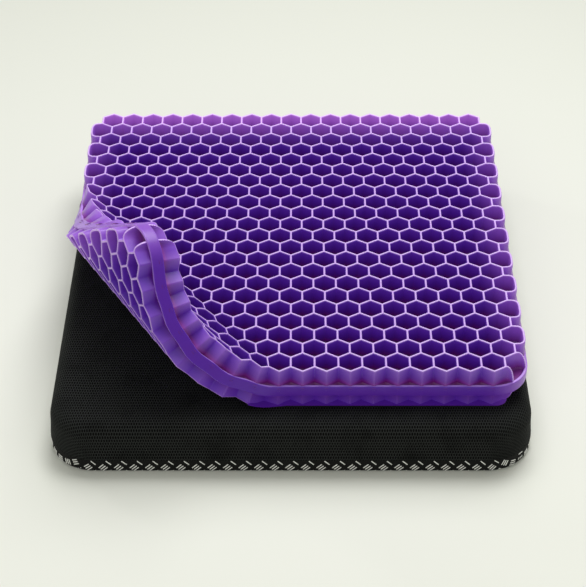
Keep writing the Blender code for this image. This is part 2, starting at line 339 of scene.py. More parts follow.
def build_walls(lines, top, depth, side):
    """Points, faces, and per point the depth share and 1 on outer ribs, of all walls.  A
    corner between lines at angles a and b has its feet where lines offset by the half
    thickness h cross: h / tan(gap / 2) along each.  side is +1 on the top and -1 on the
    underside."""
    points, start, stop, twin, angle, following = half_edges(lines)
    profile = wall_profile(depth)
    gap = np.mod(angle[following] - angle, 2 * math.pi)
    gap = np.where(gap < 1e-6, 2 * math.pi, gap)
    half_gap = np.clip(gap / 2, NARROWEST, math.pi - NARROWEST)
    along = np.stack([np.cos(angle), np.sin(angle)], -1)
    left = np.stack([-along[:, 1], along[:, 0]], -1)
    rows_a, rows_b = [], []
    plan, fall = points[start, :2], points[start, 2]
    for half, drop, share in profile:
        back = half / np.tan(half_gap) + half * FOOT_ROUNDING
        back = np.where(gap < math.pi, back, 0.0)[:, None]
        lowered = fall + (depth - fall) * drop / depth
        height = (top - side * lowered)[:, None]
        foot_a = plan + along * back + left * half
        foot_b = plan + along[following] * back - left[following] * half
        rows_a.append(np.hstack([foot_a, height]))
        rows_b.append(np.hstack([foot_b, height]))
    count, depths = len(start), len(profile)
    cloud = np.concatenate([np.concatenate(rows_a), np.concatenate(rows_b)])
    here = np.arange(count)
    previous = np.empty(count, int)
    previous[following] = here
    far = previous[twin]
    offset_b = count * depths
    quads = []
    for row in range(depths - 1):
        low, high = row * count, (row + 1) * count
        quads.append(np.stack([here + low, far + low + offset_b, far + high + offset_b,
                               here + high], -1))
        quads.append(np.stack([here + high, here + high + offset_b, here + low + offset_b,
                               here + low], -1))
    faces = np.concatenate(quads)
    if side > 0:
        faces = faces[:, ::-1]
    shares = np.tile(np.repeat(profile[:, 2], count), 2)
    # Outer ribs carry a mask for painted light, which the gel material turns into a lighter tone:
    # full on the top, less below.
    ribs = np.tile(np.where(gap > math.pi, 1.0 if side > 0 else UNDER_RIB_LIGHT, 0.0), depths * 2)
    return cloud, faces, np.column_stack([shares, ribs])


# %% [markdown]
# ## Floor and rim band
#
# Between the upper and the lower cells runs a thin floor, and at its edge it grows
# into the rim band.  Both are one closed surface: a cross-section that goes from the
# middle of the pad out over the lip, down the band and back in underneath, swept
# round the pad's rounded outline.

# %% Rounded outlines
def outline(half_x, half_y, radius, steps, edge_points):
    """A rounded rectangle, counter-clockwise from the front right: four arcs, of one radius
    or of one each, with straight runs between them."""
    corners = [(1, -1), (1, 1), (-1, 1), (-1, -1)]
    radii = np.broadcast_to(radius, 4)
    parts = []
    for quarter, (sx, sy) in enumerate(corners):
        turn = (quarter - 1 + np.linspace(0, 1, steps)) * math.pi / 2
        here, ahead = radii[quarter], radii[(quarter + 1) % 4]
        centre = np.array([sx * (half_x - here), sy * (half_y - here)])
        arc = centre + here * np.stack([np.cos(turn), np.sin(turn)], -1)
        following = corners[(quarter + 1) % 4]
        turn_end = quarter * math.pi / 2
        next_start = np.array([following[0] * (half_x - ahead), following[1] * (half_y - ahead)])
        next_start = next_start + ahead * np.array([math.cos(turn_end), math.sin(turn_end)])
        run = np.linspace(0, 1, edge_points + 2)[1:-1, None]
        parts += [arc, arc[-1] + (next_start - arc[-1]) * run]
    return np.concatenate(parts)


FLOOR_HALF = 0.0015
FLOOR_FILLET = 0.0006
LIP_ROUND = 0.0006


def build_floor():
    """Points, faces and depth shares of the floor with its rim band, in its place.  On the band the
    shares set painted light: the pale lip top is a painted highlight and the darker face is painted
    shade.
    """
    foot = LIP_WIDTH + FLOOR_FILLET
    rings = [(scale, foot, FLOOR_HALF, 1.0) for scale in np.linspace(0.0, 1.0, 26)[1:-1]]
    # On the band, a low share paints a highlight on the lip and a higher share paints shade on its
    # face.
    rings += [(1.0, inset, height, share) for inset, height, share in (
        (foot, FLOOR_HALF, 1.0),
        (LIP_WIDTH, FLOOR_HALF + FLOOR_FILLET, 0.9),
        (LIP_WIDTH, RIM_HALF_HEIGHT - LIP_ROUND, 0.6),
        (LIP_WIDTH - LIP_ROUND, RIM_HALF_HEIGHT, 0.07),
        (LIP_ROUND, RIM_HALF_HEIGHT, 0.07),
        (LIP_ROUND * 0.3, RIM_HALF_HEIGHT - LIP_ROUND * 0.3, 0.12),
        (0.0, RIM_HALF_HEIGHT - LIP_ROUND, 0.40),
        (0.0, RIM_HALF_HEIGHT - LIP_ROUND * 2.2, 0.48))]
    rings += [(scale, inset, -height, share) for scale, inset, height, share in rings[::-1]]
    cloud, shares = [], []
    for scale, inset, height, share in rings:
        radii = np.array([RIM_RADIUS, BACK_RADIUS, BACK_RADIUS, RIM_RADIUS]) - inset
        ring = outline(*(PAD_HALF[:2] - inset), radii, 14, 46) * scale
        level = PAD_CENTRE[2] + height - RIM_DROP * (abs(height) > FLOOR_HALF)
        cloud.append(np.hstack([ring + PAD_CENTRE[:2], np.full((len(ring), 1), level)]))
        shares.append(np.full(len(ring), share))
    cloud = with_poles(cloud, PAD_CENTRE[:2])
    faces = grid_faces(len(cloud), len(cloud[0]), closed=True)
    shares = np.concatenate([shares[0]] + shares + [shares[-1]])
    return np.concatenate(cloud), faces, np.column_stack([shares, shares * 0])


# %% Join walls and floor
def join(parts):
    """Several (points, faces, shares) as one."""
    shift = np.cumsum([0] + [len(points) for points, _, _ in parts[:-1]])
    points = np.concatenate([points for points, _, _ in parts])
    faces = np.concatenate([faces + move for (_, faces, _), move in zip(parts, shift)])
    shares = np.concatenate([shares for _, _, shares in parts])
    return points, faces, shares


def build_ledge():
    """The thin ledge under the front recesses: a strip from x to its end, whose outer line
    turns in with a quarter of an ellipse; four rows make its closed cross-section."""
    half, turn = SIDE / 2, 0.010
    left, right = -1.5 * PITCH, (WIDE_CELLS - 1) / 2 * PITCH - PITCH / 2 + 0.004
    x = np.concatenate([np.linspace(left, right - turn, 40),
                        right - turn + turn * np.sin(np.linspace(0.15, math.pi / 2, 9))])
    front = row_centre(ROWS - 1) - SIDE
    bend = np.sqrt(np.clip(1 - np.clip((x - right + turn) / turn, 0, 1) ** 2, 0, 1))
    outer, inner = front + half + 0.001 - (half + 0.0032) * bend, front + half + 0.001
    rows = []
    for y, z in ((inner, 0.0), (outer, 0.0), (outer, 0.0011), (inner, 0.0011)):
        rows.append(np.stack([x, np.broadcast_to(y, x.shape), np.full(len(x), PAD_LOW[2] + z)], -1))
    points = np.concatenate(rows)
    faces = grid_faces(4, len(x))
    seam = grid_faces(2, len(x))
    seam = np.where(seam < len(x), seam + 3 * len(x), seam - len(x))
    step = np.arange(4) * len(x)
    caps = np.array([step[::-1], step + len(x) - 1])
    return points, np.concatenate([faces, seam, caps]), np.full((len(points), 2), (0.5, 0.0))


CELL_DEPTH = PAD_HALF[2] - FLOOR_HALF + 0.0003
flat_pad = join([
    build_walls(drawings[1], PAD_HIGH[2], CELL_DEPTH, 1),
    build_walls(drawings[-1], PAD_LOW[2], CELL_DEPTH, -1),
    build_floor(),
    build_ledge()])
print("flat pad: points", len(flat_pad[0]), "faces", len(flat_pad[1]))

# %% [markdown]
# ## The bend
#
# The frame holds the peeled corner as five strips on coupled hinges.  The real gel
# bends smoothly, so each hinge's turn is spread over the width of its strip with a
# smooth step.  The hinges' lines are known where the corner is curled, so they are
# first rolled back to the flat pad, one after the other.

# %% Hinge lines on the flat pad
def turn_about(points, origin, axis, angles):
    """Rodrigues: each point turned by its own angle about the line through origin."""
    offset = points - origin
    angles = np.broadcast_to(angles, len(points))[:, None]
    swing = np.cross(axis, offset) * np.sin(angles)
    keep = np.outer(offset @ axis, axis) * (1 - np.cos(angles))
    return origin + offset * np.cos(angles) + swing + keep


curl_joints = [joint for joint in frame["joints"] if joint["name"].startswith("corner_curl_")]
FOLD_TURN = math.radians(curl_joints[0]["range_deg"][1])


def flat_hinges():
    """Origin and axis of each hinge line as it lies on the flat pad."""
    rested = []
    for joint in curl_joints:
        origin, axis = np.array(joint["pos_m"], float), np.array(joint["axis"], float)
        for known_origin, known_axis in rested:
            tip = turn_about((origin + axis)[None], known_origin, known_axis, FOLD_TURN)[0]
            origin = turn_about(origin[None], known_origin, known_axis, FOLD_TURN)[0]
            axis = (tip - origin) / np.linalg.norm(tip - origin)
        rested.append((origin, axis))
    return rested


hinges = flat_hinges()
across = [np.array([-axis[1], axis[0]]) / np.hypot(axis[0], axis[1]) for _, axis in hinges]
if across[0] @ (PAD_LOW[:2] - PAD_CENTRE[:2]) < 0:
    across = [-direction for direction in across]
reach = [direction @ (origin[:2] - PAD_CENTRE[:2]) for direction, (origin, _) in zip(across, hinges)]
turns = [math.atan2(direction[1], direction[0]) for direction in across]
print("hinge distances from the pad's centre, mm:", np.round(np.array(reach) * 1000, 1))

# %% Lines half way between the hinges
FOLDS = len(hinges)


def border(number):
    """Direction and distance of the line between strips: half way between two hinges, and
    as far past the first and last hinge."""
    ends = np.arange(FOLDS)
    place = number - 0.5
    slope_turn = (turns[-1] - turns[0]) / (FOLDS - 1)
    slope_reach = (reach[-1] - reach[0]) / (FOLDS - 1)
    turn = np.interp(place, ends, turns) + slope_turn * (place - np.clip(place, 0, FOLDS - 1))
    distance = np.interp(place, ends, reach) + slope_reach * (place - np.clip(place, 0, FOLDS - 1))
    return np.array([math.cos(turn), math.sin(turn)]), distance


borders = [border(number) for number in range(FOLDS + 1)]
GEL_STRETCH = 0.038                       # the gel gives a little where it is peeled
BEND_SHARES = (1.30, 1.16, 1.06, 0.90, 0.61)   # soft gel bends more at the root of the curl


def past(points, number):
    """How far each flat point lies past a border."""
    direction, distance = borders[number]
    return (points[:, :2] - PAD_CENTRE[:2]) @ direction - distance


def stretch(points):
    """Flat points past the first border, moved on by the gel's stretch."""
    moved = points.copy()
    moved[:, :2] += np.outer(np.maximum(past(points, 0), 0.0) * GEL_STRETCH, borders[0][0])
    return moved


def curl(points):
    """Flat points, stretched a little past the first border, then turned about the hinges
    from the outermost inwards, by the smooth step of their place in each strip."""
    flat = stretch(points)
    bent = flat.copy()
    for number in reversed(range(FOLDS)):
        before, after = past(flat, number), past(flat, number + 1)
        share = smoothstep(before / np.maximum(before - after, 1e-9))
        origin, axis = hinges[number]
        bent = turn_about(bent, origin, axis, -FOLD_TURN * BEND_SHARES[number] * share)
    return bent


# %% [markdown]
# ## Cutting the pad into pieces
#
# A piece can bend across one joint only.  So the flat pad is cut along the borders and each piece is
# bent.  The piece before the first border rides on the pad's body and the piece past the last border
# on the last hinge's body; the pieces between stay where they are bent, and for each only the start
# and end of its blend across the hinge are worked out.  Neighbours share the points on a border.

# %% Cut a flat mesh along the borders
ON_PLANE = 1e-6                           # a point this close to a plane counts as on it


def unstretched_border(number):
    """A border's direction and a point on it before the gel is stretched.  Stretched points
    are p + g max(p.n0 - d0, 0) n0, so p.n = d becomes p.(n + g c n0) = d + g c d0, c = n.n0."""
    first, first_distance = borders[0]
    direction, distance = borders[number]
    give = GEL_STRETCH * (direction @ first) if number else 0.0
    normal = direction + give * first
    length = np.linalg.norm(normal)
    place = (distance + give * first_distance) / length
    return normal / length, PAD_CENTRE[:2] + normal / length * place


def cut_along_borders(item):
    """Slice the mesh by the upright planes of all borders, so that faces end on them.  The
    planes are those of the pad before it is stretched."""
    with edited(item) as bm:
        for number in range(FOLDS + 1):
            direction, point = unstretched_border(number)
            bmesh.ops.bisect_plane(bm, geom=bm.verts[:] + bm.edges[:] + bm.faces[:],
                                   plane_co=(*point, PAD_CENTRE[2]), plane_no=(*direction, 0.0),
                                   dist=ON_PLANE)


def take_zone(item, zone, name):
    """A copy of the mesh with only the faces whose centre lies in one zone, bent."""
    copy = item.copy()
    copy.data = item.data.copy()
    copy.name = copy.data.name = name
    bpy.context.collection.objects.link(copy)
    with edited(copy) as bm:
        zones = face_zones(np.array([face.calc_center_median() for face in bm.faces]))
        doomed = [face for face, where in zip(bm.faces, zones) if where != zone]
        bmesh.ops.delete(bm, geom=doomed, context="FACES")
    points = curl(mesh_points(copy))
    copy.data.vertices.foreach_set("co", points.astype(np.float32).ravel())
    copy.data.update()
    return copy


def face_zones(centres):
    """0 before the first border, 1 .. FOLDS for the strips, FOLDS + 1 past the last."""
    moved = stretch(centres)
    return sum((past(moved, number) > 0).astype(int) for number in range(FOLDS + 1))


def mesh_points(item):
    """The mesh's points as (n, 3)."""
    points = np.empty(len(item.data.vertices) * 3, np.float32)
    item.data.vertices.foreach_get("co", points)
    return points.reshape(-1, 3).astype(float)


# %% [markdown]
# ## Materials
#
# Small helpers keep the node trees readable: one adds a node with its settings, one
# places a texture on the object, one does a sum, one makes a colour ramp, one tilts the
# normal by a height, and the last makes the finishes that follow a single grain.

# %% Node helpers
def new_material(name, colour, roughness, **settings):
    """A Principled material; each extra keyword is a socket's name with _ for a space."""
    material = bpy.data.materials.new(name)
    material.use_nodes = True
    tree = material.node_tree
    shader = tree.nodes["Principled BSDF"]
    shader.inputs["Base Color"].default_value = (*colour, 1)
    shader.inputs["Roughness"].default_value = roughness
    for key, value in settings.items():
        shader.inputs[key.replace("_", " ")].default_value = value
    return material, tree, shader


def add_node(tree, kind, **values):
    """A node of a kind; a value goes to the input with that name, or to the setting."""
    node = tree.nodes.new("ShaderNode" + kind)
    for key, value in values.items():
        name = key.replace("_", " ")
        if name in node.inputs:
            node.inputs[name].default_value = value
        else:
            setattr(node, key, value)
    return node


def texture(tree, kind, **values):
    """A texture node placed by the object's own coordinates."""
    node = add_node(tree, kind, **values)
    tree.links.new(add_node(tree, "TexCoord").outputs["Object"], node.inputs["Vector"])
    return node


def maths(tree, operation, first, second=None, third=None):
    """One Math node; numbers are set and sockets are joined."""
    node = tree.nodes.new("ShaderNodeMath")
    node.operation = operation
    for socket, value in zip(node.inputs, (first, second, third)):
        if value is None:
            continue
        if isinstance(value, (int, float)):
            socket.default_value = value
        else:
            tree.links.new(value, socket)
    return node.outputs[0]


def ramp(tree, factor, stops):
    """A colour ramp from (place, colour) stops."""
    node = tree.nodes.new("ShaderNodeValToRGB")
    band = node.color_ramp
    while len(band.elements) < len(stops):
        band.elements.new(0.5)
    for element, (place, colour) in zip(band.elements, stops):
        element.position = place
        element.color = (*colour, 1)
    tree.links.new(factor, node.inputs["Fac"])
    return node.outputs["Color"]


def bump(tree, shader, height, distance, strength=1.0):
    """Tilt the shader's normal by a height."""
    node = add_node(tree, "Bump", Distance=distance, Strength=strength)
    tree.links.new(height, node.inputs["Height"])
    tree.links.new(node.outputs["Normal"], shader.inputs["Normal"])


def grained_material(name, colour, roughness, kind, scale, tones, depth, strength, **settings):
    """A finish whose tone and skin follow one grain: a noise, or a Voronoi for pores.  The
    grain comes back too, for a finish whose roughness follows it as well."""
    material, tree, shader = new_material(name, colour, roughness, **settings)
    grain = texture(tree, kind, Scale=scale).outputs["Distance" if "Voronoi" in kind else "Fac"]
    tree.links.new(ramp(tree, grain, tones), shader.inputs["Base Color"])
    bump(tree, shader, grain, depth, strength)
    return material, grain


# %% Gel
def gel_material():
    """Violet elastomer, its light and shade painted by depth: the pale lips are a painted highlight
    where they catch the light, the colour darkens down the cells as painted shade, and it turns
    reddish at their floors.  A second, lighter ramp of painted light takes over on outer ribs and
    near the edges, where light passes through, and a weak glow is painted light standing for the
    light that the thin walls scatter; a faint cloud and a fine skin keep it from looking cast."""
    material, tree, shader = new_material(
        "violet_gel", (0.16, 0.05, 0.42), 0.30, IOR=1.46, Specular_IOR_Level=0.32,
        Subsurface_Weight=0.08, Subsurface_Radius=(0.003, 0.001, 0.005),
        Subsurface_Scale=1.0, Coat_Weight=0.06, Coat_Roughness=0.22)
    share = add_node(tree, "Attribute", attribute_name="depth").outputs["Fac"]
    rib = add_node(tree, "Attribute", attribute_name="rib").outputs["Fac"]
    rim = add_node(tree, "Attribute", attribute_name="rim").outputs["Fac"]
    cloud = texture(tree, "TexNoise", Scale=48.0, Detail=4.0)
    drift = maths(tree, "MULTIPLY_ADD", cloud.outputs["Fac"], 0.12, -0.06)
    below_lip = maths(tree, "MINIMUM", maths(tree, "MULTIPLY", share, 4.0), 1.0)
    depth = maths(tree, "ADD", share, maths(tree, "MULTIPLY", drift, below_lip))
    # Painted highlight on the lips, then painted shade darkening down the walls to the reddish
    # floors.
    lip_highlight_depth_shade = ramp(tree, depth, [
        (0.00, (0.56, 0.39, 0.74)),
        (0.06, (0.42, 0.24, 0.64)),
        (0.13, (0.125, 0.034, 0.44)),
        (0.45, (0.085, 0.014, 0.34)),
        (0.66, (0.095, 0.009, 0.26)),
        (0.84, (0.210, 0.012, 0.22)),
        (1.00, (0.150, 0.006, 0.14))])
    # A lighter tone for painted light, where light comes through the outer ribs and the edges.
    painted_light_tone = ramp(tree, depth, [
        (0.00, (0.62, 0.46, 0.80)),
        (0.10, (0.40, 0.20, 0.66)),
        (0.60, (0.28, 0.105, 0.52)),
        (1.00, (0.22, 0.045, 0.32))])
    # How much of that painted light each point takes: the outer ribs and the edge mask.
    light = maths(tree, "MAXIMUM", maths(tree, "MULTIPLY", rib, 0.55), rim)
    blend = add_node(tree, "Mix", data_type="RGBA")
    tree.links.new(light, blend.inputs[0])
    tree.links.new(lip_highlight_depth_shade, blend.inputs[6])
    tree.links.new(painted_light_tone, blend.inputs[7])
    tree.links.new(blend.outputs[2], shader.inputs["Base Color"])
    # A weak glow, painted light for the light that the thin walls scatter: stronger near the edges,
    # strongest at the lips and fading towards the floors.
    through = ramp(tree, rim, [
        (0.00, (0.012, 0.002, 0.043)),
        (0.50, (0.050, 0.012, 0.090)),
        (1.00, (0.130, 0.035, 0.155))])
    tree.links.new(through, shader.inputs["Emission Color"])
    upper = maths(tree, "MULTIPLY_ADD", maths(tree, "MULTIPLY", share, share), -1.25, 1.30)
    tree.links.new(upper, shader.inputs["Emission Strength"])
    fine = texture(tree, "TexNoise", Scale=420.0, Detail=3.0)
    bump(tree, shader, fine.outputs["Fac"], 0.00012, 0.35)
    shine = maths(tree, "MULTIPLY_ADD", cloud.outputs["Fac"], 0.18, 0.24)
    tree.links.new(shine, shader.inputs["Roughness"])
    return material


gel = gel_material()

# %% Gel pieces
def near_edge(points):
    """1 at the pad's back edge and sides, fading to 0 over a few cells: there light comes
    through the outer walls as well as from above."""
    back = smoothstep((points[:, 1] - PAD_HIGH[1] + 0.066) / 0.062) ** 1.5
    aside = smoothstep((np.abs(points[:, 0] - PAD_CENTRE[0]) - PAD_HALF[0] + 0.040) / 0.040)
    return np.maximum(back, aside * 0.55)


pad_flat = new_object("gel_flat", flat_pad[0], flat_pad[1], sharp=27, depth=flat_pad[2][:, 0],
                      rib=flat_pad[2][:, 1], rim=near_edge(flat_pad[0]))
pad_flat.data.materials.append(gel)
cut_along_borders(pad_flat)
bodies = ["pad"] + [joint["child"] for joint in curl_joints]
cut_points = mesh_points(pad_flat)
curled_points = curl(cut_points)
on_border = [curled_points[np.abs(past(stretch(cut_points), number)) < 5e-6]
             for number in range(FOLDS + 1)]


def blend_run(number):
    """Start and end of the blend across one hinge.  They lie on a line square to the hinge: the start
    is past every point of the strip's first border and the end before every point of its last."""
    axis = np.array(curl_joints[number]["axis"], float)
    axis = axis / np.linalg.norm(axis)
    first, last = on_border[number], on_border[number + 1]
    middle = (first.mean(axis=0) + last.mean(axis=0)) / 2
    chord = last.mean(axis=0) - first.mean(axis=0)
    chord = chord - axis * (chord @ axis)
    chord = chord / np.linalg.norm(chord)
    begin, end = ((first - middle) @ chord).max(), ((last - middle) @ chord).min()
    print("hinge", number + 1, "blend from", round(begin * 1000, 1), "to", round(end * 1000, 1), "mm")
    return tuple(middle + chord * begin), tuple(middle + chord * end)


for zone in range(FOLDS + 2):
    piece = take_zone(pad_flat, zone, f"gel_honeycomb_{zone}")
    if zone in (0, FOLDS + 1):
        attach(piece, bodies[min(zone, FOLDS)])
    else:
        begin, end = blend_run(zone - 1)
        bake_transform(piece)
    node = "gel_pad" if zone == 0 else f"gel_corner_{min(zone, FOLDS)}"
    if zone <= FOLDS:
        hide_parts(node)
    print(piece.name, "faces", len(piece.data.polygons), "stands for", node)
bpy.data.objects.remove(pad_flat, do_unlink=True)

# %% [markdown]
# ## The cover
#
# The knit is pulled over a foam core.  Its shape is one sheet wrapped round a box
# with rounded edges: flat on top, over the shoulder, down the side to the seam.  A
# point of the sheet is found from its place on the unrolled cloth, so the knit's
# pattern runs over the edge without a break.

# %% Wrap a flat cloth over the rounded box
COVER_RADIUS = 0.042
SHOULDER = 0.015
BASE_ROUND = 0.003
SIDE_LEAN = 0.0016                        # the knit leans in from the seam to the shoulder
WAIST = 0.0008                            # the sides pull in this much between the corners


def unroll(u, v, flat_inset):
    """For cloth points (u, v): the nearest point of the flat part's outline, the direction
    out of it, and how far past it the point lies."""
    limit = COVER_HALF[:2] - COVER_RADIUS
    centre = np.stack([np.clip(u, -limit[0], limit[0]), np.clip(v, -limit[1], limit[1])], -1)
    offset = np.stack([u, v], -1) - centre
    length = np.hypot(offset[:, 0], offset[:, 1])
    direction = offset / np.maximum(length, 1e-9)[:, None]
    beyond = length - (COVER_RADIUS - flat_inset)
    return centre, direction, length, beyond


def wrap(u, v, edge, upside, lift):
    """Cloth point to space.  edge is the rounded edge's radius; past its quarter circle the
    cloth runs straight along the side.  upside is +1 for the top and -1 for the underside."""
    centre, direction, length, beyond = unroll(u, v, edge)
    turn = np.clip(beyond / edge, 0.0, math.pi / 2)
    side_run = np.maximum(beyond - edge * math.pi / 2, 0.0)
    out = np.where(beyond < 0, length, COVER_RADIUS - edge + (edge + lift) * np.sin(turn))
    level = COVER_TOP if upside > 0 else 0.0
    drop = edge - (edge + lift) * np.cos(turn) + side_run
    z = level - upside * np.where(beyond < 0, -lift, drop)
    plan = centre + direction * out[:, None]
    if upside > 0:
        climb = np.clip((z - SEAM_HEIGHT) / (COVER_TOP - SHOULDER - SEAM_HEIGHT), 0, 1)
        middle = np.cos(np.clip(plan / COVER_HALF[:2], -1, 1) * math.pi / 2).max(axis=1)
        inward = (SIDE_LEAN * climb + WAIST * middle * np.sin(climb * math.pi)) * np.sin(turn)
        plan = plan - direction * inward[:, None]
    return np.column_stack([plan, z])


def cloth_rings(edge, side_length, flat_rings):
    """Cloth coordinates of rings from the middle of the flat part to the end of the side."""
    flat = np.linspace(0, 1, flat_rings + 1)[1:]
    base = outline(COVER_HALF[0] - edge, COVER_HALF[1] - edge, COVER_RADIUS - edge, 16, 52)
    rings = [base * scale for scale in flat]
    limit = COVER_HALF[:2] - COVER_RADIUS
    centre = np.clip(base, -limit, limit)
    direction = (base - centre) / np.linalg.norm(base - centre, axis=1)[:, None]
    total = edge * math.pi / 2 + side_length
    for distance in np.linspace(0, total, 22)[1:]:
        rings.append(base + direction * distance)
    return rings


def closed_cloth(name, edge, side_length, upside, thickness, wrapped):
    """A cloth with its thickness: the outer rings from the pole, then the inner ones back."""
    rings = cloth_rings(edge, side_length, 26)
    rings.insert(0, rings[0] * 0.0)
    sheet_uv = np.concatenate(rings)
    outer = wrapped(sheet_uv[:, 0], sheet_uv[:, 1], 0.0)
    inner = wrapped(sheet_uv[:, 0], sheet_uv[:, 1], -thickness)
    count, columns = len(rings), len(rings[0])
    points = np.concatenate([outer, inner.reshape(count, columns, 3)[::-1].reshape(-1, 3)])
    uv = np.concatenate([sheet_uv, sheet_uv.reshape(count, columns, 2)[::-1].reshape(-1, 2)])
    faces = grid_faces(count * 2, columns, closed=True)
    if upside < 0:
        faces = faces[:, ::-1]
    return new_object(name, points, faces, cloth_u=uv[:, 0], cloth_v=uv[:, 1])


# %% Knit shell and grip base
KNIT_THICKNESS = 0.0030
BASE_THICKNESS = 0.0022
SEAM_GAP = 0.0003                         # left between the base fabric and the knit
WAVE_HEIGHT = 0.0003


def knit_wrap(u, v, lift):
    """The knit's top, shoulder and side.  Away from the pad it undulates softly: the sum of
    two slow sine waves, faded in towards the front corner that the peeled pad lays bare."""
    points = wrap(u, v, SHOULDER, 1, lift)
    bare = smoothstep((-u - v - 0.20) / 0.12)
    wave = np.sin(u * 95 + v * 60) + np.sin(v * 140 - u * 45 + 1.3) - 1.2
    beyond = unroll(u, v, SHOULDER)[3]
    points[:, 2] += WAVE_HEIGHT * wave * bare * smoothstep(-beyond / 0.02)
    return points


def base_wrap(u, v, lift):
    """The base fabric's underside and turned-up edge."""
    return wrap(u, v, BASE_ROUND, -1, lift)


shell = closed_cloth("knit_cover", SHOULDER, COVER_TOP - SHOULDER - SEAM_HEIGHT, 1,
                     KNIT_THICKNESS, knit_wrap)
base = closed_cloth("grip_base", BASE_ROUND, SEAM_HEIGHT - BASE_ROUND - SEAM_GAP, -1,
                    BASE_THICKNESS, base_wrap)
print("knit faces", len(shell.data.polygons), "base faces", len(base.data.polygons))


# %% The zip's opening
ZIP_MIDDLE = (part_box("zip_coil_upper")[1][2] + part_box("zip_coil_lower")[0][2]) / 2
OPENING_HALF = (0.1725, 0.0060)           # half its length and half its height


def cut_opening(item):
    """Slice the cloth at the back along the opening's four sides, drop the faces inside on
    the outer and the inner surface, and join the two edges: they show the cloth's thickness."""
    behind = SHELL_HIGH[1] - 2 * KNIT_THICKNESS
    sides = [(0, -OPENING_HALF[0]), (0, OPENING_HALF[0]),
             (2, ZIP_MIDDLE - OPENING_HALF[1]), (2, ZIP_MIDDLE + OPENING_HALF[1])]
    with edited(item) as bm:
        for axis, value in sides:
            point, normal = np.zeros(3), np.zeros(3)
            point[axis], normal[axis] = value, 1.0
            back = [face for face in bm.faces if face.calc_center_median().y > behind]
            parts = set(back) | {edge for face in back for edge in face.edges}
            parts |= {vertex for face in back for vertex in face.verts}
            bmesh.ops.bisect_plane(bm, geom=list(parts), plane_co=point, plane_no=normal,
                                   dist=ON_PLANE)
        centres = np.array([face.calc_center_median() for face in bm.faces])
        inside = (np.abs(centres[:, 0]) < OPENING_HALF[0]) & (centres[:, 1] > behind)
        inside &= np.abs(centres[:, 2] - ZIP_MIDDLE) < OPENING_HALF[1]
        doomed = [face for face, gone in zip(bm.faces, inside) if gone]
        bmesh.ops.delete(bm, geom=doomed, context="FACES")
        rims = [edge for edge in bm.edges if edge.is_boundary]
        made = bmesh.ops.bridge_loops(bm, edges=rims)["faces"]
        bmesh.ops.recalc_face_normals(bm, faces=bm.faces[:])
        print("zip opening: faces removed", len(doomed), "faces joining the edges", len(made))


cut_opening(shell)


# %% Knit material
def cloth_place(tree, pitch_u, pitch_v):
    """Staggered cells on the cloth: the place inside a cell, from -0.5 to 0.5 each way."""
    u = add_node(tree, "Attribute", attribute_name="cloth_u").outputs["Fac"]
    v = add_node(tree, "Attribute", attribute_name="cloth_v").outputs["Fac"]
    row = maths(tree, "DIVIDE", v, pitch_v)
    odd = maths(tree, "MODULO", maths(tree, "FLOOR", row), 2.0)
    column = maths(tree, "MULTIPLY_ADD", odd, 0.5, maths(tree, "DIVIDE", u, pitch_u))
    inside_u = maths(tree, "SUBTRACT", maths(tree, "FRACT", column), 0.5)
    inside_v = maths(tree, "SUBTRACT", maths(tree, "FRACT", row), 0.5)
    return inside_u, inside_v


def knit_material():
    """Black spacer knit: staggered holes, long from front to back, between soft ribs; each rib is a
    pair of threads, and a slow cloud makes the dye uneven.  The holes are painted near black as the
    shade inside them, and the threads' lighter tone is partly the yarn's own dark grey and partly
    painted highlight."""
    material, tree, shader = new_material(
        "black_spacer_knit", (0.012, 0.013, 0.012), 0.72, Sheen_Weight=0.018,
        Sheen_Roughness=0.30, Sheen_Tint=(0.80, 0.88, 0.80, 1), Specular_IOR_Level=0.06)
    u, v = cloth_place(tree, 0.0023, 0.0033)
    wide = maths(tree, "POWER", maths(tree, "ABSOLUTE", maths(tree, "MULTIPLY", u, 2.7)), 2.0)
    tall = maths(tree, "POWER", maths(tree, "ABSOLUTE", maths(tree, "MULTIPLY", v, 2.1)), 2.0)
    thread = maths(tree, "MINIMUM", maths(tree, "ADD", wide, tall), 1.0)
    cloud = texture(tree, "TexNoise", Scale=35.0, Detail=3.0)
    dye = maths(tree, "MULTIPLY_ADD", cloud.outputs["Fac"], 0.30, 0.85)
    # Painted shade makes the holes near black; the threads' lighter tone is partly painted highlight.
    colour = ramp(tree, maths(tree, "MULTIPLY", thread, dye), [
        (0.0, (0.0006, 0.0007, 0.0006)), (0.84, (0.0012, 0.0014, 0.0013)),
        (1.0, (0.0260, 0.0282, 0.0268))])
    tree.links.new(colour, shader.inputs["Base Color"])
    bump(tree, shader, thread, 0.0008, 1.0)
    return material


def grip_material():
    """Black ribbed weave under the grip bars."""
    material, tree, shader = new_material(
        "woven_grip_base", (0.010, 0.010, 0.010), 0.8, Sheen_Weight=0.03, Sheen_Roughness=0.5,
        Specular_IOR_Level=0.10)
    u, v = cloth_place(tree, 0.0011, 0.0013)
    down = maths(tree, "MULTIPLY", maths(tree, "ABSOLUTE", v), 2.0)
    weave = maths(tree, "ADD", maths(tree, "ABSOLUTE", u), down)
    colour = ramp(tree, weave, [(0.2, (0.014, 0.014, 0.013)), (1.1, (0.003, 0.003, 0.003))])
    tree.links.new(colour, shader.inputs["Base Color"])
    bump(tree, shader, weave, 0.0003, 0.6)
    return material


shell.data.materials.append(knit_material())
base.data.materials.append(grip_material())
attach(shell, "cover")
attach(base, "cover")
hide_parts("cover_shell")
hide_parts("cover_base")

# %% [markdown]
# ## Grip bars
#
# The base fabric carries raised rubber dashes: diamonds of three short bars, leaning
# one way in one row and the other way in the next.  Each bar is a small block whose
# corners are placed on the unrolled cloth and wrapped with it.

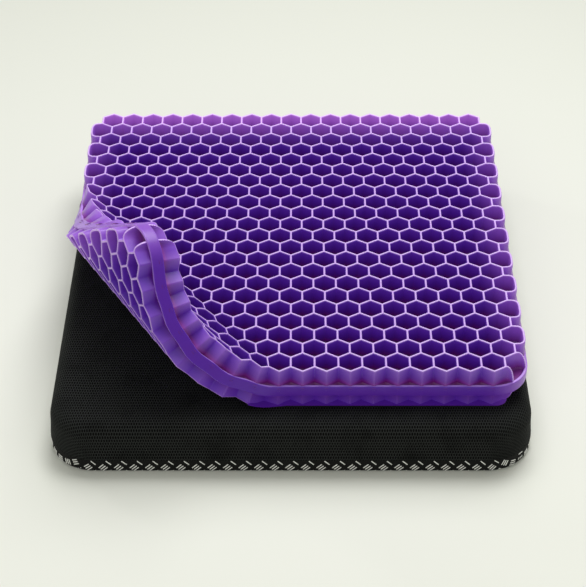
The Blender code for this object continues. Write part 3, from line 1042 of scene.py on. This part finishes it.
# %% Bars on the unrolled cloth
GROUP_PITCH = 0.0139
ROW_PITCH = 0.0077
BAR_LENGTH = 0.0062
BAR_WIDTH = 0.0010
BAR_STEP = 0.0025
BAR_RISE = 0.0004
FACES_PER_BAR = 10
ROW_RISE = 0.0055                         # the lowest row's height on the front side
ROW_SHIFT = 0.0007                        # of the lattice to the left
SIDE_RUN = BASE_ROUND * math.pi / 2 + SEAM_HEIGHT - BASE_ROUND


def bar_centres():
    """Centres and signs of all bars.  Groups of three bars at 45 degrees sit on a lattice whose
    rows are half a pitch apart and shifted by half a pitch; every other row is mirrored."""
    first = -(COVER_HALF[1] - BASE_ROUND + BASE_ROUND * math.pi / 2 + ROW_RISE - BASE_ROUND)
    rows = np.arange(-3, int(2 * (COVER_HALF[1] + SIDE_RUN) / ROW_PITCH) + 3)
    half_count = int((COVER_HALF[0] + SIDE_RUN) / GROUP_PITCH) + 1
    columns = np.arange(-half_count, half_count + 1)
    row, column, bar = np.meshgrid(rows, columns, np.arange(-1, 2), indexing="ij")
    sign = np.where(row % 2 == 0, 1.0, -1.0)
    diagonal = bar * BAR_STEP / math.sqrt(2)
    x = (column + (row % 2) / 2) * GROUP_PITCH - ROW_SHIFT + diagonal
    y = first + row * ROW_PITCH + diagonal * sign
    return x.ravel(), y.ravel(), sign.ravel()


def grip_bars():
    """Every bar as a block with a smaller top; blocks past the seam are left out."""
    x, y, sign = bar_centres()
    past_edge = unroll(x, y, BASE_ROUND)[3]
    kept = past_edge < SIDE_RUN - BAR_LENGTH * 0.30
    x, y, sign = x[kept], y[kept], sign[kept]
    along = np.stack([np.ones(len(x)), -sign], -1) / math.sqrt(2)
    wide = np.stack([sign, np.ones(len(x))], -1) / math.sqrt(2)
    rings = []
    for grow, lift in ((1.0, -0.0002), (1.0, BAR_RISE * 0.6), (0.75, BAR_RISE)):
        for su, sv in ((1, 1), (-1, 1), (-1, -1), (1, -1)):
            spot = (np.stack([x, y], -1) + wide * (su * BAR_WIDTH / 2 * grow)
                    + along * (sv * BAR_LENGTH / 2 * (1 - (1 - grow) * 0.25)))
            rings.append(base_wrap(spot[:, 0], spot[:, 1], lift))
    points = np.stack(rings, 1).reshape(-1, 3)
    corner = np.arange(4)
    sides = [np.stack([low + corner, low + (corner + 1) % 4, low + 4 + (corner + 1) % 4,
                       low + 4 + corner], -1) for low in (0, 4)]
    pattern = np.concatenate(sides + [np.array([[8, 9, 10, 11], [3, 2, 1, 0]])])
    faces = (np.arange(len(x))[:, None, None] * 12 + pattern[None]).reshape(-1, 4)
    item = new_object("grip_bars", points, faces, smooth=False)
    face_out(item)
    return item


bars = grip_bars()
bar_material, bar_grain = grained_material(
    "light_grip_rubber", (0.85, 0.85, 0.80), 0.6, "TexNoise", 600.0,
    [(0.3, (0.80, 0.80, 0.76)), (0.7, (0.92, 0.92, 0.88))], 0.0001, 0.4)
bar_grain.node.inputs["Detail"].default_value = 2.0
bars.data.materials.append(bar_material)
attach(bars, "cover")
print("grip bars:", len(bars.data.polygons) // FACES_PER_BAR)

# %% [markdown]
# ## Foam core
#
# Inside the cover lies a grey foam block.  Nobody sees it while the zip is closed, but
# it is a part of its own, so it gets its own rounded form and an open-cell finish.

# %% Foam block
def foam_block():
    """Rings of one rounded outline, a hair inside the frame's box: out along the underside,
    round the lower edge, up the side, round the upper edge, and back to the middle."""
    low, high = corner_arrays(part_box("foam_core"))
    middle, half = (low + high) / 2, (high - low) / 2
    edge, radius, hair = 0.008, 0.036, 0.0006
    turn = np.linspace(0, math.pi / 2, 6)
    inset = np.concatenate([edge - edge * np.sin(turn), (edge - edge * np.cos(turn))])
    rise = np.concatenate([edge - edge * np.cos(turn), 2 * half[2] - edge + edge * np.sin(turn)])
    flat = np.linspace(0.15, 1.0, 8)[:-1]
    rings = [(share, edge, 0.0) for share in flat]
    rings += [(1.0, i, r) for i, r in zip(inset, rise)]
    rings += [(share, edge, 2 * half[2]) for share in flat[::-1]]
    loops = []
    for share, i, r in rings:
        ring = outline(*(half[:2] - i - hair), radius - i, 10, 12) * share
        level = np.full((len(ring), 1), low[2] + r)
        loops.append(np.hstack([ring + middle[:2], level]))
    loops = with_poles(loops, middle[:2])
    faces = grid_faces(len(loops), len(loops[0]), closed=True)
    return new_object("foam_block", np.concatenate(loops), faces)


foam = foam_block()
face_out(foam)
# The darker pore centres are painted shade inside the open cells.
foam_finish = grained_material(
    "grey_open_foam", (0.30, 0.30, 0.31), 0.95, "TexVoronoi", 900.0,
    [(0.0, (0.12, 0.12, 0.13)), (0.5, (0.36, 0.36, 0.37))], 0.0006, 0.7)[0]
foam.data.materials.append(foam_finish)
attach(foam, "cover")
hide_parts("foam_core")

# %% [markdown]
# ## Zip
#
# The rear side opens with a coil zip.  A coil is a fine plastic spring sewn along each
# tape, so it is a helix with a small round section; the two run half a turn apart and
# lock into each other.  The tapes, stops, slider and tab keep the frame's own shapes
# and get finishes of their own.

# %% Coils
COIL_PITCH = 0.0017
COIL_WIRE = 0.00038


def coil(name, node, phase):
    """A helix about the box's long axis, flattened to the box: the wire's centre is at
    (pitch t, a cos 2 pi t, b sin 2 pi t), and a ring of six points is carried along it."""
    low, high = corner_arrays(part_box(node))
    middle, half = (low + high) / 2, (high - low) / 2 - COIL_WIRE
    turns = 2 * half[0] / COIL_PITCH
    t = np.linspace(0, turns, int(turns * 9))
    angle = 2 * math.pi * t + phase
    centre = np.stack([t * COIL_PITCH - half[0], half[1] * np.cos(angle),
                       half[2] * np.sin(angle)], -1)
    ahead = np.gradient(centre, axis=0)
    ahead = ahead / np.linalg.norm(ahead, axis=1)[:, None]
    side = np.cross(ahead, [1.0, 0.0, 0.0])
    side = side / np.linalg.norm(side, axis=1)[:, None]
    up = np.cross(side, ahead)
    ring = np.linspace(0, 2 * math.pi, 7)[None, :-1, None]
    around = side[:, None] * np.cos(ring) + up[:, None] * np.sin(ring)
    points = middle + centre[:, None] + around * COIL_WIRE
    ends = np.repeat(middle + centre[[0, -1]][:, None], 6, axis=1)
    points = np.concatenate([ends[:1], points, ends[1:]]).reshape(-1, 3)
    item = new_object(name, points, grid_faces(len(t) + 2, 6, closed=True), sharp=80)
    face_out(item)
    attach(item, "cover")
    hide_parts(node)
    return item


coils = [coil("coil_upper", "zip_coil_upper", 0.0), coil("coil_lower", "zip_coil_lower", math.pi)]
print("coil faces:", [len(item.data.polygons) for item in coils])

# %% Finishes of the zip
def zip_finish(name, dark, light, roughness, scale, depth, **settings):
    """A grained finish between two tones, whose roughness follows the grain too."""
    material, grain = grained_material(name, light, roughness, "TexNoise", scale,
                                       [(0.35, dark), (0.65, light)], depth, 0.5, **settings)
    grain.node.inputs["Detail"].default_value = 4.0
    tree = material.node_tree
    tree.links.new(maths(tree, "MULTIPLY_ADD", grain, 0.2, roughness - 0.1),
                   tree.nodes["Principled BSDF"].inputs["Roughness"])
    return material


def tape_material():
    """Herringbone tape: diagonal ribs that change direction every few millimetres."""
    material, tree, shader = new_material("zip_tape_weave", (0.012, 0.012, 0.012), 0.85,
                                          Specular_IOR_Level=0.2)
    parts = texture(tree, "SeparateXYZ")
    zigzag = maths(tree, "PINGPONG", parts.outputs["Z"], 0.0012)
    run = maths(tree, "ADD", parts.outputs["X"], zigzag)
    rib = maths(tree, "FRACT", maths(tree, "MULTIPLY", run, 1400.0))
    ridge = maths(tree, "PINGPONG", rib, 0.5)
    tree.links.new(ramp(tree, ridge, [(0.0, (0.005, 0.005, 0.005)), (0.5, (0.030, 0.030, 0.028))]),
                   shader.inputs["Base Color"])
    bump(tree, shader, ridge, 0.0003, 0.8)
    return material


def finish_node(node, material):
    """Put a material on a frame part without touching its shape."""
    item = bpy.data.objects[node]
    if not item.material_slots:
        raise SystemExit(node + " has no material slot")
    for slot in item.material_slots:
        slot.link = "OBJECT"
        slot.material = material


coil_finish = zip_finish("black_coil_nylon", (0.008, 0.008, 0.008), (0.022, 0.022, 0.022),
                         0.38, 900.0, 0.00004)
metal_finish = zip_finish("black_lacquered_metal", (0.016, 0.016, 0.017), (0.034, 0.034, 0.036),
                          0.34, 500.0, 0.00005, Metallic=0.35, Coat_Weight=0.4,
                          Coat_Roughness=0.15)
for item in coils:
    item.data.materials.append(coil_finish)
weave = tape_material()
for node in ("zip_tape_upper", "zip_tape_lower"):
    finish_node(node, weave)
for node in ("zip_top_stop_upper", "zip_top_stop_lower", "zip_bottom_stop", "zip_slider",
             "zip_pull_tab"):
    finish_node(node, metal_finish)

# %% [markdown]
# ## Floor, light and camera
#
# A pale floor runs to a pale background.  One large soft light hangs above and
# behind, a second fills from the front, a small one grazes the left edge, and the
# camera stands in front, looking down at about forty degrees.

# %% Stage
def make_floor():
    """A large flat floor painted darker towards the back: a painted falloff of the light, as on a
    paper sweep.
    """
    size = 6.0
    points = np.array([(-size, -size, 0), (size, -size, 0), (size, size, 0), (-size, size, 0)])
    item = new_object("studio_floor", points, np.array([[0, 1, 2, 3]]))
    material, tree, shader = new_material("pale_floor_painted_falloff", (0.80, 0.81, 0.745), 0.9,
                                          Specular_IOR_Level=0.1)
    split = texture(tree, "SeparateXYZ")
    # Painted shade: the floor's colour darkens with distance behind the pad.
    behind = maths(tree, "MULTIPLY_ADD", split.outputs["Y"], 0.8, 0.10)
    tone = ramp(tree, behind, [
        (0.00, (0.80, 0.81, 0.745)), (0.25, (0.70, 0.71, 0.655)), (1.00, (0.50, 0.51, 0.455))])
    tree.links.new(tone, shader.inputs["Base Color"])
    item.data.materials.append(material)


def area_light(name, place, target, size, power):
    """A square soft white light that faces a point."""
    lamp = bpy.data.lights.new(name, "AREA")
    lamp.energy, lamp.size = power, size
    item = bpy.data.objects.new(name, lamp)
    item.location = place
    item.rotation_euler = (Vector(target) - Vector(place)).to_track_quat("-Z", "Y").to_euler()
    bpy.context.collection.objects.link(item)


make_floor()
area_light("key", (0.25, 0.75, 1.8), (0, 0, 0), 1.3, 36)
area_light("fill", (-0.5, -2.0, 1.6), (0, 0, 0.05), 1.6, 9)
area_light("edge", (-1.3, 0.9, 0.75), (-0.2, -0.05, 0.1), 0.22, 2.2)
world = bpy.data.worlds.new("pale_room")
world.use_nodes = True
world.node_tree.nodes["Background"].inputs["Color"].default_value = (0.86, 0.87, 0.80, 1)
world.node_tree.nodes["Background"].inputs["Strength"].default_value = 0.42
bpy.context.scene.world = world
bpy.context.scene.view_settings.view_transform = "Standard"

# %% Camera
VIEW_ELEVATION = math.radians(39.75)
VIEW_DISTANCE = 1.4267                    # to the pad's front top edge, along the view
VIEW_RISE = 0.0678                        # of the view's middle above that edge
VIEW_SIDE = 0.0020
LENS = 99.9

ahead = np.array([0, math.cos(VIEW_ELEVATION), -math.sin(VIEW_ELEVATION)])
upward = np.array([0, math.sin(VIEW_ELEVATION), math.cos(VIEW_ELEVATION)])
front_edge = np.array([0, row_centre(ROWS - 1) - SIDE, PAD_HIGH[2]])
camera = bpy.data.objects.new("camera", bpy.data.cameras.new("camera"))
camera.data.lens = LENS
camera.location = front_edge - ahead * VIEW_DISTANCE + upward * VIEW_RISE + [VIEW_SIDE, 0, 0]
camera.rotation_euler = (math.pi / 2 - VIEW_ELEVATION, 0, 0)
bpy.context.collection.objects.link(camera)
bpy.context.scene.camera = camera
